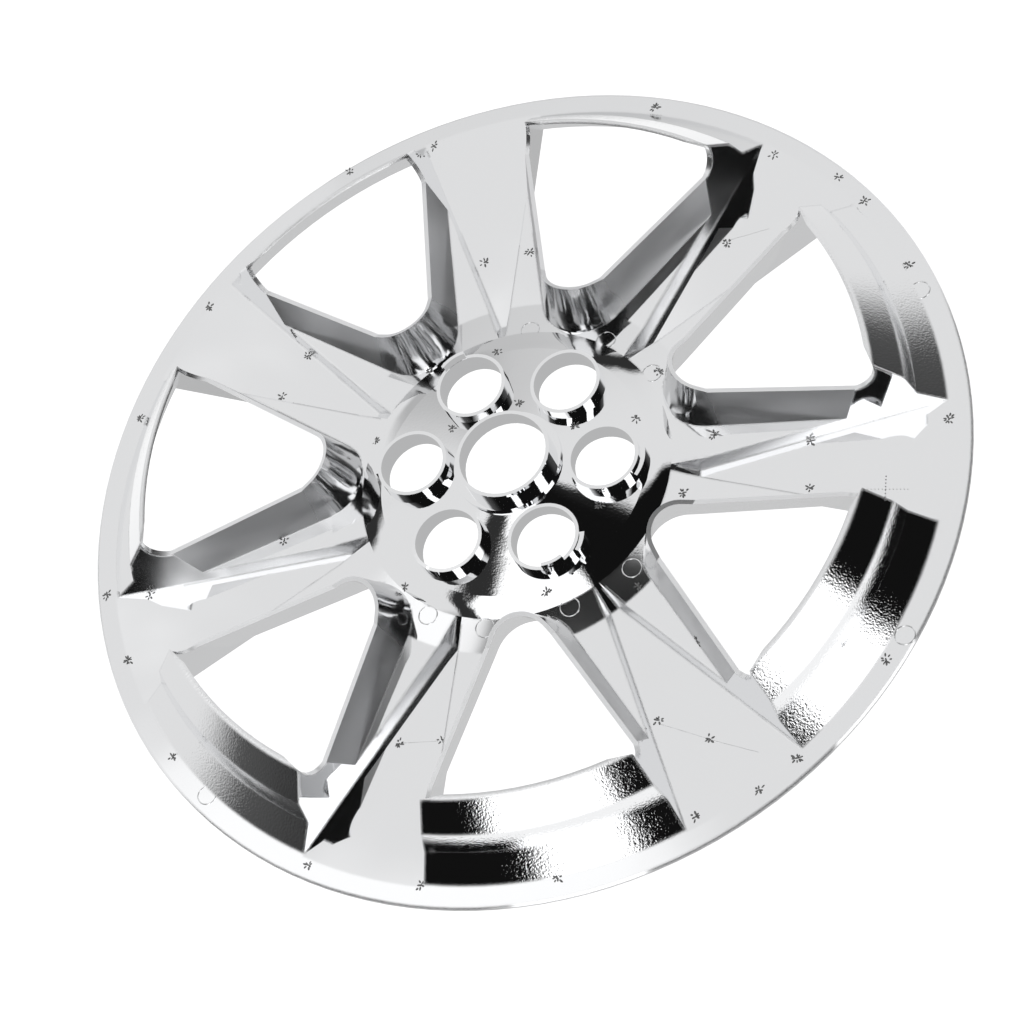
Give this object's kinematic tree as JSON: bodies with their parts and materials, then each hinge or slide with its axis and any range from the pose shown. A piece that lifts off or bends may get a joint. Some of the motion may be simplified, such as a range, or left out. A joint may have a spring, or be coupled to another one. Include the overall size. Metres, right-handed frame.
{
  "type": "wheel cover",
  "caption": "Thin chrome-plated moulded wheel cover with flaring channel spokes, stepped raised window walls, lug-nut collars and a centre collar; covers the face of a car wheel.",
  "frame": {"origin": "on the axis of the centre collar, level with the lowest point of the show face", "axes": "+Z along the axis out of the open back, +X out along one spoke and through one lug collar"},
  "size_m": [0.548, 0.548, 0.0542],
  "materials": {
    "chrome": "bright chrome plating on moulded plastic"
  },
  "bodies": {
    "root": {"wheel_cover": "chrome"}
  },
  "joints": []
}
